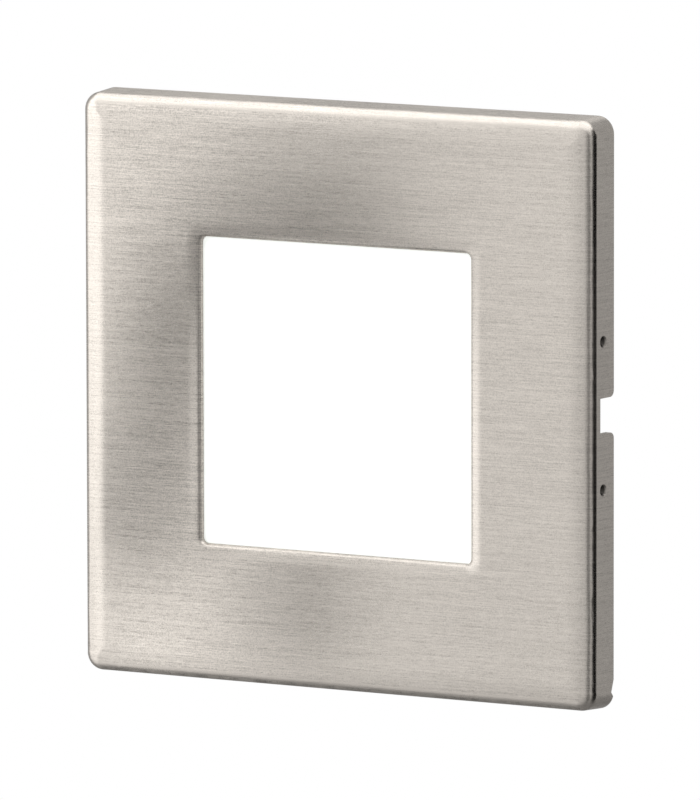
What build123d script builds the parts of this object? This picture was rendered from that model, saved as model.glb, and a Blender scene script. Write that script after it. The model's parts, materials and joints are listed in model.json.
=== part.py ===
"""Recessed wall light: a square push-fit steel cover over a housing that sits in the wall.

Millimetres. +Z is up, -Y is the front, and the plane y = 0 is the face of the wall.
The origin is the middle of that seat. The light is a two-pole mains fitting with its own driver.
"""
from build123d import *
from math import ceil, cos, pi, radians, sin, sqrt, tan
import os

# Front cover, a pressed steel cap
cover_size = 80.0
cover_depth = 5.8
cover_sheet = 0.8
cover_corner_r = 2.4
cover_bend_r = 1.5
cover_crown = 2.0
cover_crown_drop = 0.35
cover_crown_r = 4.0
cover_draft = 3.0
cover_wall_gap = 0.4
window_size = 42.0
window_corner_r = 0.8
window_bend_r = 0.7
window_lip = 1.0
notch_width = 4.8
notch_depth = 3.4
notch_mouth_r = 0.9
dimple_spacing = 20.0
dimple_inset = 2.7
dimple_r = 0.9
dimple_depth = 0.65
dimple_bump = 0.4
rim_relief_run = 1.7
rim_relief_depth = 0.6

# Clearances
snap_gap = 0.15
part_gap = 0.3
slip_gap = 0.2
screw_gap = 0.05

# Carrier frame that the cover snaps over
wall_gasket_thickness = 1.2
wall_gasket_width = 2.4
wall_gasket_inset = 0.8
cutout_overlap = 6.0
cutout_margin = 1.0
carrier_plate = 2.0
carrier_rim = 1.6
carrier_inset = 0.9
carrier_corner_r = 2.0
collar_wall = 1.6
rib_thickness = 1.2
rib_height = 1.4
rib_offset = 14.0
ridge_length = 4.0
ridge_height = 0.7
slot_r = 2.1
slot_length = 8.0

# Diffuser and its seals
diffuser_overlap = 1.6
diffuser_thickness = 2.0
diffuser_rise = 1.0
pane_overlap = 0.6
diffuser_corner_r = 2.0
diffuser_seal = 0.8
diffuser_seal_width = 2.0
ledge_width = 2.8
ledge_thickness = 1.4
nose_length = 5.0
nose_reach = 0.6
nose_thickness = 0.7
nose_offset = 9.0
housing_seal = 0.6
housing_seal_width = 1.3

# Housing in the wall: a light chamber and a narrower driver can
housing_inset = 0.9
housing_wall = 1.6
housing_corner_r = 8.0
chamber_depth = 9.2
can_step_x = 5.0
can_step_z = 3.5
can_corner_r = 5.0
driver_space = 3.6
component_space = 10.8
ear_reach = 5.1
ear_width = 19.0
ear_depth = 5.0

# Light engine
led_board_margin = 4.9
led_board_thickness = 1.6
led_board_corner_r = 1.5
led_width = 3.5
led_height = 2.8
led_thickness = 0.8
led_rows = 3
led_row_pitch = 8.0
led_column_pitch = 12.0
reflector_wall = 0.9
pad_thickness = 0.4
pad_margin = 1.0
spreader_thickness = 2.6

# Driver
board_thickness = 1.6
capacitor_r = 4.0
capacitor_height = 9.6
capacitor_place = (9.2, 8.6)
choke_r = 4.0
choke_height = 8.0
choke_flange = 1.2
choke_place = (-8.4, 4.2)
film_size = (5.4, 8.5, 10.0)
film_place = (-11.8, -8.2)
bridge_size = (4.8, 2.2, 5.0)
bridge_place = (11.8, -4.2)
chip_size = (5.0, 1.5, 4.0)
chip_place = (-1.4, 12.6)
fuse_r = 1.4
fuse_length = 7.0
fuse_place = (0.6, 3.5)
post_r = 2.4
post_x = 12.5
post_z = 13.5

# Leads between driver and LED board
lead_r = 0.55
lead_x = 2.2
lead_board_z = 9.0
lead_edge = 2.0
lead_bend_r = 1.2
lead_proud = 0.5

# Supply terminal with two release buttons
terminal_width = 14.0
terminal_height = 11.0
terminal_proud = 1.0
terminal_z = -8.5
terminal_wall = 0.8
terminal_rear_block = 5.0
pole_pitch = 6.4
pole_cavity = 4.4
wire_entry_r = 1.3
wire_entry_drop = 2.7
contact_sheet = 0.4
contact_width = 3.4
button_rise = 2.3
button_width = 2.2
button_height = 2.8
button_proud = 1.2
button_flange = 0.5
button_flange_thickness = 1.1
button_nose_height = 1.2
blade_sheet = 0.4
blade_width = 3.4
blade_bend_r = 1.2
blade_angle = 48.7
blade_tip_gap = 0.75
blade_back = 4.4

# Screws
small_head_r = 1.9
small_head = 1.3
small_shank_r = 1.0
housing_screw_x = 7.0
housing_screw_length = 7.6
board_screw_edge = 2.5
board_screw_length = 4.2
spreader_screw_length = 7.6
driver_screw_length = 7.0
boss_wall = 1.3

# Sprung clips, upper and lower
clip_pivot_y = 11.5
clip_pivot_rise = 3.4
clip_rest_angle = 23.0
clip_sheet = 0.8
clip_width = 9.4
clip_length = 13.0
clip_heel = 1.6
clip_plate_offset = 2.2
clip_ear_r = 2.4
clip_ear_length = 4.5
clip_tip_width = 6.0
clip_tip_length = 4.5
pad_wall = 1.0
pin_r = 1.0
pin_fit = 0.05
pin_end = 0.3
lug_thickness = 2.0
lug_gap = 0.5
lug_r = 2.6
spring_wire = 0.6
spring_r = 1.75
spring_pitch = 1.1
spring_turns = 4
spring_leg_housing = 4.0
spring_leg_arm = 6.0

# Places along the depth, from the cover back to the terminal
cover_rear_y = -cover_wall_gap
cover_front_y = cover_rear_y - cover_depth
cover_inner_y = cover_front_y + cover_sheet
lip_end_y = cover_front_y + window_lip
pane_front_y = lip_end_y + slip_gap
diffuser_front_y = pane_front_y + diffuser_rise
diffuser_rear_y = diffuser_front_y + diffuser_thickness
ledge_front_y = diffuser_rear_y + diffuser_seal
ledge_rear_y = ledge_front_y + ledge_thickness
plate_rear_y = -wall_gasket_thickness
plate_front_y = plate_rear_y - carrier_plate
rim_front_y = cover_inner_y + part_gap + cover_crown_drop / 2
housing_front_y = ledge_rear_y + housing_seal
led_front_y = housing_front_y + chamber_depth
pad_front_y = led_front_y + led_board_thickness
spreader_front_y = pad_front_y + pad_thickness
shoulder_y = spreader_front_y + spreader_thickness
chamber_rear_y = shoulder_y + housing_wall
driver_front_y = shoulder_y + driver_space
driver_rear_y = driver_front_y + board_thickness
can_inner_y = driver_rear_y + component_space
can_rear_y = can_inner_y + housing_wall
terminal_rear_y = can_rear_y + terminal_proud
cavity_rear_y = terminal_rear_y - terminal_rear_block

# Widths across the front
draft_slope = tan(radians(cover_draft))
dimple_y = cover_rear_y - dimple_inset
dimple_wall_x = cover_size / 2 - dimple_inset * draft_slope
dimple_tip_x = dimple_wall_x - cover_sheet - dimple_bump
carrier_size = cover_size - 2 * (cover_sheet + carrier_inset)
cutout_r = cover_size / 2 - cutout_overlap
slot_spacing = 2 * cutout_r - slot_length
diffuser_size = window_size + 2 * diffuser_overlap
pane_size = window_size + 2 * pane_overlap
pane_corner_r = window_corner_r + pane_overlap
pocket_size = diffuser_size + 2 * slip_gap
collar_size = pocket_size + 2 * collar_wall
collar_corner_r = diffuser_corner_r + slip_gap + collar_wall
ledge_size = pocket_size - 2 * ledge_width
housing_size = collar_size - 2 * housing_inset
chamber_size = housing_size - 2 * housing_wall
chamber_corner_r = housing_corner_r - housing_wall
spreader_size = chamber_size - 2 * part_gap
led_board_size = chamber_size - 2 * led_board_margin
board_screw_place = led_board_size / 2 - board_screw_edge
reflector_rear = 2 * (board_screw_place - small_head_r - slip_gap)
lead_led_z = led_board_size / 2 - lead_edge
can_width = housing_size - 2 * can_step_x
can_height = housing_size - 2 * can_step_z
can_inner_width = can_width - 2 * housing_wall
can_inner_height = can_height - 2 * housing_wall
can_inner_corner_r = can_corner_r - housing_wall
driver_width = can_inner_width - 2 * part_gap
driver_height = can_inner_height - 2 * part_gap
boss_r = small_shank_r + boss_wall
housing_screw_z = collar_size / 2 + small_head_r + slip_gap
spreader_screw_x = (can_inner_width / 2 + chamber_size / 2) / 2
clip_pivot_z = housing_size / 2 + clip_pivot_rise
lug_inner_x = clip_width / 2 + lug_gap
pin_half = lug_inner_x + lug_thickness + pin_end
spring_wound = 90 - clip_rest_angle

# Heights and depths inside the terminal
cavity_top_z = terminal_z + terminal_height / 2 - terminal_wall
cavity_low_z = terminal_z - terminal_height / 2 + terminal_wall
contact_z = cavity_low_z + screw_gap + contact_sheet / 2
wire_entry_z = terminal_z - wire_entry_drop
button_z = terminal_z + button_rise
blade_start_y = driver_rear_y + blade_bend_r + blade_sheet
blade_top_z = cavity_top_z - screw_gap - blade_sheet / 2
blade_bend_z = blade_top_z - blade_bend_r + blade_bend_r * sin(radians(270 - blade_angle))
blade_length = (blade_bend_z - contact_z - blade_tip_gap) / sin(radians(blade_angle))

on_base = (Align.CENTER, Align.CENTER, Align.MIN)


def slab(sketch, y_front, y_rear):
    """A sketch in x and z, made solid from y_front back to y_rear."""
    plane = Plane(origin=(0, y_rear, 0), x_dir=(1, 0, 0), z_dir=(0, -1, 0))
    return extrude(plane * sketch, y_rear - y_front)


def across(sketch, x_start, x_end):
    """A sketch in y and z, made solid from x_start to x_end."""
    plane = Plane(origin=(x_start, 0, 0), x_dir=(0, 1, 0), z_dir=(1, 0, 0))
    return extrude(plane * sketch, x_end - x_start)


def square(size, corner_r):
    return RectangleRounded(size, size, corner_r)


def rod(x, z, r, y_front, y_rear):
    return slab(Pos(x, z) * Circle(r), y_front, y_rear)


def ring(outer, outer_r, inner, inner_r, y_front, y_rear):
    return slab(square(outer, outer_r) - square(inner, inner_r), y_front, y_rear)


def funnel(front_size, front_r, y_front, rear_size, rear_r, y_rear):
    """A square body that changes size evenly from front to rear."""
    faces = []
    for size, corner_r, y in ((front_size, front_r, y_front), (rear_size, rear_r, y_rear)):
        plane = Plane(origin=(0, y, 0), x_dir=(1, 0, 0), z_dir=(0, -1, 0))
        faces.append(plane * square(size, corner_r))
    return loft(faces, ruled=True)


def block(size, place, y_front):
    """A box of size (x, y, z) standing on the plane y = y_front and reaching back."""
    return slab(Pos(*place) * Rectangle(size[0], size[2]), y_front, y_front + size[1])


def corners(x, z):
    return [(i * x, j * z) for i in (-1, 1) for j in (-1, 1)]


def screw(x, z, seat_y, length):
    """A pan-head screw driven rearwards, with its head in front of seat_y."""
    head = rod(x, z, small_head_r, seat_y - small_head, seat_y)
    front = head.faces().sort_by(Axis.Y)[0]
    head = fillet(front.edges(), small_head / 3)
    cross = Rectangle(small_head_r * 1.1, small_head / 3) + Rectangle(small_head / 3, small_head_r * 1.1)
    recess = slab(Pos(x, z) * cross, seat_y - 2 * small_head, seat_y - small_head / 2)
    return (head + rod(x, z, small_shank_r, seat_y, seat_y + length) - recess).solid()


def front_cover():
    def cap(size, corner_r, crown, y_front, bend_r):
        """A drafted square whose front falls away a little before it bends into the rim."""
        bend_y = y_front + cover_crown_drop * crown / cover_crown
        bend_size = size - 2 * (cover_rear_y - bend_y) * draft_slope
        body = funnel(bend_size - 2 * crown, corner_r - crown, y_front, bend_size, corner_r, bend_y)
        body += funnel(bend_size, corner_r, bend_y, size, corner_r, cover_rear_y)
        near = cover_crown_drop / 4
        bend = body.edges().filter_by_position(Axis.Y, bend_y - near, bend_y + near)
        return fillet(bend, bend_r)

    inner_size = cover_size - 2 * cover_sheet
    inner_r = cover_corner_r - cover_sheet
    inner_crown = cover_crown - cover_sheet
    cover = cap(cover_size, cover_corner_r, cover_crown, cover_front_y, cover_bend_r)
    cover = fillet(cover.faces().sort_by(Axis.Y)[0].edges(), cover_crown_r)
    cover -= cap(inner_size, inner_r, inner_crown, cover_inner_y, cover_bend_r - cover_sheet)

    # Window with its lip rolled inwards
    lip_outer = window_size + 2 * cover_sheet
    cover += slab(square(lip_outer, window_corner_r + cover_sheet), cover_inner_y, lip_end_y)
    cover -= slab(square(window_size, window_corner_r), cover_front_y, lip_end_y)
    window_edges = cover.faces().sort_by(Axis.Y)[0].inner_wires()[0].edges()
    cover = fillet(window_edges, window_bend_r)

    # Pry notch in the right-hand rim, open to the rear with a rounded mouth
    notch_y = cover_rear_y - notch_depth
    side = cover_size / 2
    mouth = Pos((notch_y + cover_rear_y) / 2, 0) * Rectangle(notch_depth, notch_width)
    for sign in (-1, 1):
        corner = Pos(cover_rear_y - notch_mouth_r / 2, sign * (notch_width + notch_mouth_r) / 2)
        round_off = Pos(cover_rear_y - notch_mouth_r, sign * (notch_width / 2 + notch_mouth_r))
        mouth += corner * Rectangle(notch_mouth_r, notch_mouth_r) - round_off * Circle(notch_mouth_r)
    cover -= across(mouth, side - 2 * cover_bend_r, side)

    # Shallow dips in the rim beside the lower corners
    turn = cover_corner_r - side
    tip = (cover_rear_y - rim_relief_depth, turn)
    start = (cover_rear_y, turn + rim_relief_run)
    end = (cover_rear_y, turn - rim_relief_depth)
    dip = make_face(Polyline(tip, start, end, close=True))
    cover -= across(dip, -side, side)

    # Punched snap dimples, two on the left wall and two on the right
    lead_in = 2 * dimple_r * draft_slope
    bump = Cone(dimple_r + cover_sheet / 2, dimple_r / 2, cover_sheet / 2 + dimple_bump, align=on_base)
    pit = Cone(dimple_r, dimple_r / 4, dimple_depth + lead_in, align=on_base)
    for x_sign, z_sign in corners(1, 1):
        z = z_sign * dimple_spacing / 2
        inward = Rot(0, -90 * x_sign, 0)
        cover += Pos(x_sign * (dimple_wall_x - cover_sheet / 2), dimple_y, z) * inward * bump
        cover -= Pos(x_sign * (dimple_wall_x + lead_in), dimple_y, z) * inward * pit
    return cover.solid()


def carrier_frame():
    carrier = slab(square(carrier_size, carrier_corner_r), plate_front_y, plate_rear_y)
    rim_inner = carrier_size - 2 * carrier_rim
    rim_inner_r = carrier_corner_r - carrier_rim
    carrier += ring(carrier_size, carrier_corner_r, rim_inner, rim_inner_r, rim_front_y, plate_front_y)
    pocket_r = diffuser_corner_r + slip_gap
    carrier += slab(square(collar_size, collar_corner_r), rim_front_y, ledge_rear_y)
    carrier -= slab(square(pocket_size, pocket_r), rim_front_y, ledge_front_y)
    carrier -= slab(square(ledge_size, pocket_r), ledge_front_y, ledge_rear_y)

    # Snap noses that hold the diffuser when the cover is off
    nose_y = diffuser_front_y - screw_gap
    for x, z in corners(nose_offset, pocket_size / 2 - nose_reach / 2):
        carrier += slab(Pos(x, z) * Rectangle(nose_length, nose_reach), nose_y - nose_thickness, nose_y)

    # Ribs from the collar to the rim
    reach = (rim_inner - collar_size) / 2
    middle = (rim_inner + collar_size) / 4
    for a, b in corners(middle, rib_offset):
        carrier += slab(Pos(a, b) * Rectangle(reach, rib_thickness), plate_front_y - rib_height, plate_front_y)
        carrier += slab(Pos(b, a) * Rectangle(rib_thickness, reach), plate_front_y - rib_height, plate_front_y)

    # Ridges that the cover's dimples sit behind
    ridge_rear_y = dimple_y - dimple_r - part_gap
    ridge_x = dimple_tip_x - snap_gap
    ridge_root = carrier_size / 2 - carrier_rim / 2
    for x_sign, z_sign in corners(1, 1):
        place = Pos(x_sign * (ridge_x + ridge_root) / 2, z_sign * dimple_spacing / 2)
        ridge = place * Rectangle(ridge_x - ridge_root, ridge_length)
        carrier += slab(ridge, ridge_rear_y - ridge_height, ridge_rear_y)

    # Bosses for the housing screws, and the two slots for a wall box
    for x, z in corners(housing_screw_x, housing_screw_z):
        carrier += rod(x, z, boss_r, plate_rear_y, housing_front_y)
        carrier -= rod(x, z, small_shank_r + screw_gap, plate_front_y, housing_front_y)
    for sign in (-1, 1):
        slot = Pos(sign * slot_spacing / 2, 0) * SlotOverall(slot_length, 2 * slot_r)
        carrier -= slab(slot, plate_front_y, plate_rear_y)
    return carrier.solid()


def wall_gasket():
    outer = carrier_size - 2 * wall_gasket_inset
    outline = square(outer, carrier_corner_r)
    opening = Circle(cutout_r + cutout_margin)
    inner = square(outer - 2 * wall_gasket_width, carrier_corner_r)
    collar = square(collar_size + 2 * part_gap, collar_corner_r + part_gap)
    return slab(outline - (opening & inner) - collar, plate_rear_y, 0).solid()


def diffuser():
    """A flanged plate whose pane is raised to just behind the cover's window."""
    flange = slab(square(diffuser_size, diffuser_corner_r), diffuser_front_y, diffuser_rear_y)
    pane = slab(square(pane_size, pane_corner_r), pane_front_y, diffuser_front_y)
    return (flange + pane).solid()


def diffuser_gasket():
    outer = diffuser_size - 2 * slip_gap
    inner = outer - 2 * diffuser_seal_width
    inner_r = diffuser_corner_r / 2
    return ring(outer, diffuser_corner_r, inner, inner_r, diffuser_rear_y, ledge_front_y).solid()


def housing():
    half = housing_size / 2
    body = slab(square(housing_size, housing_corner_r), housing_front_y, chamber_rear_y)
    body += slab(RectangleRounded(can_width, can_height, can_corner_r), chamber_rear_y, can_rear_y)

    # Ears for the frame's screws, and bosses for the heat spreader's
    ear_height = ear_reach + housing_wall
    for sign in (-1, 1):
        ear = Pos(0, sign * (half + ear_reach - ear_height / 2)) * Rectangle(ear_width, ear_height)
        body += slab(ear, housing_front_y, housing_front_y + ear_depth)
        boss_end_y = spreader_front_y + spreader_screw_length + housing_wall
        body += rod(sign * spreader_screw_x, 0, boss_r, chamber_rear_y, boss_end_y)

    # Lugs and spring rests for the clips
    rest_top = clip_pivot_z - spring_r - spring_wire / 2 - snap_gap
    rest_x = -spring_pitch * (spring_turns + spring_wound / 360) / 2
    rest = Rectangle(2 * lug_r, rest_top - half + housing_wall)
    rest_z = (rest_top + half - housing_wall) / 2
    for z_sign in (-1, 1):
        stem_height = clip_pivot_rise + housing_wall
        stem = Pos(clip_pivot_y, z_sign * (clip_pivot_z - stem_height / 2)) * Rectangle(2 * lug_r, stem_height)
        lug = stem + Pos(clip_pivot_y, z_sign * clip_pivot_z) * Circle(lug_r)
        for x_sign in (-1, 1):
            start = x_sign * lug_inner_x
            end = start + x_sign * lug_thickness
            body += across(lug, min(start, end), max(start, end))
        rest_place = Pos(chamber_rear_y - lug_r, z_sign * rest_z)
        body += across(rest_place * rest, rest_x - spring_wire, rest_x + spring_wire)

    # Light chamber, driver chamber and the posts in it
    body -= slab(square(chamber_size, chamber_corner_r), housing_front_y, shoulder_y)
    can_inside = RectangleRounded(can_inner_width, can_inner_height, can_inner_corner_r)
    body -= slab(can_inside, shoulder_y, can_inner_y)
    for x, z in driver_posts():
        body += rod(x, z, post_r, driver_rear_y, can_inner_y)
        body -= rod(x, z, small_shank_r + screw_gap, driver_rear_y, can_inner_y)

    # Opening for the terminal, screw holes and pin holes
    opening = Rectangle(terminal_width + 2 * slip_gap, terminal_height + 2 * slip_gap)
    body -= slab(Pos(0, terminal_z) * opening, can_inner_y, can_rear_y)
    for x, z in corners(housing_screw_x, housing_screw_z):
        hole_end_y = plate_front_y + housing_screw_length + part_gap
        body -= rod(x, z, small_shank_r + screw_gap, housing_front_y, hole_end_y)
    for sign in (-1, 1):
        hole_end_y = spreader_front_y + spreader_screw_length + part_gap
        body -= rod(sign * spreader_screw_x, 0, small_shank_r + screw_gap, shoulder_y, hole_end_y)
        pin_hole = Pos(clip_pivot_y, sign * clip_pivot_z) * Circle(pin_r + pin_fit)
        body -= across(pin_hole, -pin_half, pin_half)
    return body.solid()


def housing_gasket():
    outer = housing_size - 2 * slip_gap
    inner = outer - 2 * housing_seal_width
    outer_r = housing_corner_r - slip_gap
    inner_r = outer_r - housing_seal_width
    return ring(outer, outer_r, inner, inner_r, ledge_rear_y, housing_front_y).solid()


def reflector():
    front_y = ledge_rear_y + slip_gap
    flange_size = chamber_size - 2 * part_gap
    mouth = ledge_size + reflector_wall
    rear_r = led_board_corner_r
    front_r = chamber_corner_r - part_gap
    body = funnel(mouth, front_r, front_y, reflector_rear, rear_r, led_front_y)
    body += slab(square(flange_size, front_r), front_y, front_y + reflector_wall)
    inner_front = mouth - 2 * reflector_wall
    inner_rear = reflector_rear - 2 * reflector_wall
    body -= funnel(inner_front, front_r - reflector_wall, front_y, inner_rear, rear_r / 2, led_front_y)
    return body.solid()


def lead_places():
    return [(-lead_x, lead_led_z), (lead_x, lead_led_z)]


def led_board():
    board = slab(square(led_board_size, led_board_corner_r), led_front_y, pad_front_y)
    for x, z in corners(board_screw_place, board_screw_place):
        board -= rod(x, z, small_shank_r + screw_gap, led_front_y, pad_front_y)
    for x, z in lead_places():
        board -= rod(x, z, lead_r + slip_gap, led_front_y, pad_front_y)
    return board.solid()


def led_chips():
    chips = []
    size = (led_width, led_thickness, led_height)
    for row in range(led_rows):
        z = (row - (led_rows - 1) / 2) * led_row_pitch
        for x in (-led_column_pitch / 2, led_column_pitch / 2):
            chips.append(block(size, (x, z), led_front_y - led_thickness).solid())
    return Compound(chips)


def thermal_pad():
    pad = slab(square(led_board_size - 2 * pad_margin, led_board_corner_r), pad_front_y, spreader_front_y)
    for x, z in corners(board_screw_place, board_screw_place):
        pad -= rod(x, z, small_shank_r + slip_gap, pad_front_y, spreader_front_y)
    for x, z in lead_places():
        pad -= rod(x, z, lead_r + slip_gap, pad_front_y, spreader_front_y)
    return pad.solid()


def heat_spreader():
    plate = slab(square(spreader_size, chamber_corner_r), spreader_front_y, shoulder_y)
    for x, z in corners(board_screw_place, board_screw_place):
        plate -= rod(x, z, small_shank_r + screw_gap, spreader_front_y, shoulder_y)
    for sign in (-1, 1):
        plate -= rod(sign * spreader_screw_x, 0, small_shank_r + slip_gap, spreader_front_y, shoulder_y)
    for x, z in lead_places():
        plate -= rod(x, z, lead_r + slip_gap, spreader_front_y, shoulder_y)
    return plate.solid()


def driver_posts():
    return [(-post_x, post_z), (post_x, -post_z)]


def poles():
    return [-pole_pitch / 2, pole_pitch / 2]


def driver_board():
    board = slab(
        RectangleRounded(driver_width, driver_height, can_inner_corner_r), driver_front_y, driver_rear_y
    )
    for x, z in driver_posts():
        board -= rod(x, z, small_shank_r + screw_gap, driver_front_y, driver_rear_y)
    for x in poles():
        board -= rod(x, contact_z, contact_sheet + slip_gap, driver_front_y, driver_rear_y)
    return board.solid()


def driver_capacitor():
    can = rod(*capacitor_place, capacitor_r, driver_rear_y, driver_rear_y + capacitor_height)
    return fillet(can.faces().sort_by(Axis.Y)[-1].edges(), capacitor_r / 6).solid()


def driver_choke():
    top_y = driver_rear_y + choke_height
    body = rod(*choke_place, choke_r - choke_flange / 2, driver_rear_y, top_y)
    body += rod(*choke_place, choke_r, driver_rear_y, driver_rear_y + choke_flange)
    body += rod(*choke_place, choke_r, top_y - choke_flange, top_y)
    return body.solid()


def film_capacitor():
    body = block(film_size, film_place, driver_rear_y)
    return fillet(body.edges().filter_by(Axis.Y), film_size[0] / 8).solid()


def bridge_rectifier():
    return block(bridge_size, bridge_place, driver_rear_y).solid()


def driver_chip():
    return block(chip_size, chip_place, driver_rear_y).solid()


def fuse_resistor():
    x, z = fuse_place
    body = Pos(x, driver_rear_y + fuse_r, z) * Cylinder(fuse_r, fuse_length)
    return fillet(body.edges(), fuse_r / 3).solid()


def lead(x):
    """A wire from the driver board, up behind the heat spreader and forward to the LED board."""
    run_y = (shoulder_y + driver_front_y) / 2
    bend = lead_bend_r
    points = [
        (x, driver_front_y, lead_board_z),
        (x, run_y + bend, lead_board_z),
        (x, run_y, lead_board_z + bend),
        (x, run_y, lead_led_z - bend),
        (x, run_y - bend, lead_led_z),
        (x, led_front_y - lead_proud, lead_led_z),
    ]
    path = Wire(
        [
            Edge.make_line(points[0], points[1]),
            Edge.make_tangent_arc(points[1], (0, -1, 0), points[2]),
            Edge.make_line(points[2], points[3]),
            Edge.make_tangent_arc(points[3], (0, 0, 1), points[4]),
            Edge.make_line(points[4], points[5]),
        ]
    )
    section = Plane(origin=points[0], z_dir=(0, -1, 0)) * Circle(lead_r)
    return sweep(section, path).solid()


def terminal_block():
    outline = Pos(0, terminal_z) * RectangleRounded(terminal_width, terminal_height, terminal_wall)
    body = slab(outline, driver_rear_y, terminal_rear_y)
    for x in poles():
        cavity = Rectangle(pole_cavity, terminal_height - 2 * terminal_wall)
        body -= slab(Pos(x, terminal_z) * cavity, driver_rear_y, cavity_rear_y)
        body -= rod(x, wire_entry_z, wire_entry_r, cavity_rear_y, terminal_rear_y)
        slide = Rectangle(button_width + 2 * slip_gap, button_height + 2 * slip_gap)
        body -= slab(Pos(x, button_z) * slide, cavity_rear_y, terminal_rear_y)
    return body.solid()


def terminal_contacts():
    bars = []
    for x in poles():
        bar = slab(
            Pos(x, contact_z) * Rectangle(contact_width, contact_sheet),
            driver_rear_y + slip_gap,
            cavity_rear_y - slip_gap,
        )
        pin = Pos(x, contact_z) * Rectangle(2 * contact_sheet, contact_sheet)
        bar += slab(pin, driver_front_y - 2 * contact_sheet, driver_rear_y + slip_gap)
        bars.append(bar.solid())
    return Compound(bars)


def blade_point(distance):
    """A point in y and z on the blade's straight part, at this distance from the bend."""
    turn = radians(270 - blade_angle)
    y = blade_start_y + blade_bend_r * cos(turn) + distance * cos(radians(blade_angle))
    z = blade_bend_z - distance * sin(radians(blade_angle))
    return y, z


def blade_spring(x):
    """A bent blade that presses the wire on the contact: one leg under the roof, one across the cavity."""
    bend_y, bend_z = blade_point(0)
    tip_y, tip_z = blade_point(blade_length)
    start = (x, blade_start_y + blade_back, blade_top_z)
    turn = (x, blade_start_y, blade_top_z)
    path = Wire(
        [
            Edge.make_line(start, turn),
            Edge.make_tangent_arc(turn, (0, -1, 0), (x, bend_y, bend_z)),
            Edge.make_line((x, bend_y, bend_z), (x, tip_y, tip_z)),
        ]
    )
    section = Plane(origin=start, x_dir=(1, 0, 0), z_dir=(0, -1, 0)) * Rectangle(blade_width, blade_sheet)
    return sweep(section, path).solid()


def button(x):
    """A release button: a stem through the terminal's rear, a flange inside and a nose at the blade."""
    stop_y = cavity_rear_y - part_gap
    flange_y = stop_y - button_flange_thickness
    nose_z = button_z - button_height / 2 + button_nose_height / 2
    below = nose_z + button_nose_height / 2
    nose_y, _ = blade_point((blade_bend_z - below) / sin(radians(blade_angle)))
    nose_y += blade_sheet + part_gap + button_nose_height
    stem = Pos(x, button_z) * Rectangle(button_width, button_height)
    flange = Pos(x, button_z) * Rectangle(button_width + 2 * button_flange, button_height + button_flange)
    nose = Pos(x, nose_z) * Rectangle(button_width, button_nose_height)
    body = slab(stem, stop_y, terminal_rear_y + button_proud)
    body = fillet(body.faces().sort_by(Axis.Y)[-1].edges(), button_flange / 2)
    body += slab(flange, flange_y, stop_y)
    body += slab(nose, nose_y, flange_y)
    return body.solid()


def clip_arm():
    """The upper clip's arm, in the rest pose, hinged about the pin."""
    half = clip_width / 2
    front = -clip_plate_offset - clip_sheet
    plate_y = -clip_plate_offset - clip_sheet / 2
    narrow = clip_length - clip_tip_length
    arm = Pos(0, plate_y, (narrow - clip_heel) / 2) * Box(clip_width, clip_sheet, narrow + clip_heel)
    arm += Pos(0, plate_y, narrow + clip_tip_length / 2) * Box(clip_tip_width, clip_sheet, clip_tip_length)
    ear_depth_y = clip_ear_r - front
    ear = Circle(clip_ear_r)
    ear += Pos(front / 2, (clip_ear_length - clip_heel) / 2) * Rectangle(-front, clip_ear_length + clip_heel)
    ear += Pos((clip_ear_r + front) / 2, clip_ear_r / 2) * Rectangle(ear_depth_y, clip_ear_r)
    ear -= Circle(pin_r + 2 * pin_fit)
    for sign in (-1, 1):
        inner = sign * (half - clip_sheet)
        arm += across(ear, min(inner, sign * half), max(inner, sign * half))
    return arm


def clip_pad():
    """A rubber sleeve over the tip of the upper clip's arm."""
    front = -clip_plate_offset - clip_sheet
    narrow = clip_length - clip_tip_length
    outer_x = clip_tip_width + 2 * pad_wall
    outer_y = clip_sheet + 2 * pad_wall
    length = clip_tip_length + pad_wall - slip_gap
    plate_y = front + clip_sheet / 2
    sleeve = Pos(0, plate_y, narrow + slip_gap + length / 2) * Box(outer_x, outer_y, length)
    sleeve = fillet(sleeve.edges(), pad_wall / 2)
    hollow = Box(clip_tip_width + 2 * screw_gap, clip_sheet + 2 * screw_gap, 2 * (clip_tip_length + screw_gap))
    return sleeve - Pos(0, plate_y, narrow) * hollow


def biarc(start, start_way, end, end_way):
    """Two arcs that leave start along start_way and reach end along end_way."""
    gap = end - start
    ways = start_way + end_way
    spread = 2 * (1 - start_way.dot(end_way))
    reach = (-gap.dot(ways) + sqrt(gap.dot(ways) ** 2 + spread * gap.dot(gap))) / spread
    first = start + start_way * reach
    second = end - end_way * reach
    middle = (first + second) * 0.5
    middle_way = (second - first).normalized()
    return [Edge.make_tangent_arc(start, start_way, middle), Edge.make_tangent_arc(middle, middle_way, end)]


def clip_spring():
    """A torsion spring about the upper clip's pin: one leg on the housing, one behind the arm."""
    wound = 360 * spring_turns + spring_wound
    steps = ceil(wound / 90)
    x_start = -spring_pitch * wound / 720
    nodes = []
    for step in range(steps + 1):
        angle = radians(-90 - wound * step / steps)
        x = x_start + spring_pitch * wound * step / steps / 360
        place = Vector(x, spring_r * cos(angle), spring_r * sin(angle))
        lean = spring_pitch / (2 * pi * spring_r) if 0 < step < steps else 0
        nodes.append((place, Vector(lean, sin(angle), -cos(angle)).normalized()))
    first, first_way = nodes[0]
    last, last_way = nodes[-1]
    leg_start = first - first_way * spring_leg_housing
    edges = [Edge.make_line(leg_start, first)]
    for (place, way), (next_place, next_way) in zip(nodes, nodes[1:]):
        edges += biarc(place, way, next_place, next_way)
    edges.append(Edge.make_line(last, last + last_way * spring_leg_arm))
    path = Wire(edges)
    print("clip spring, least gap to itself:", round(least_gap(path), 3), "mm")
    section = Plane(origin=leg_start, x_dir=(1, 0, 0), z_dir=first_way) * Circle(spring_wire / 2)
    return sweep(section, path)


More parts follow.
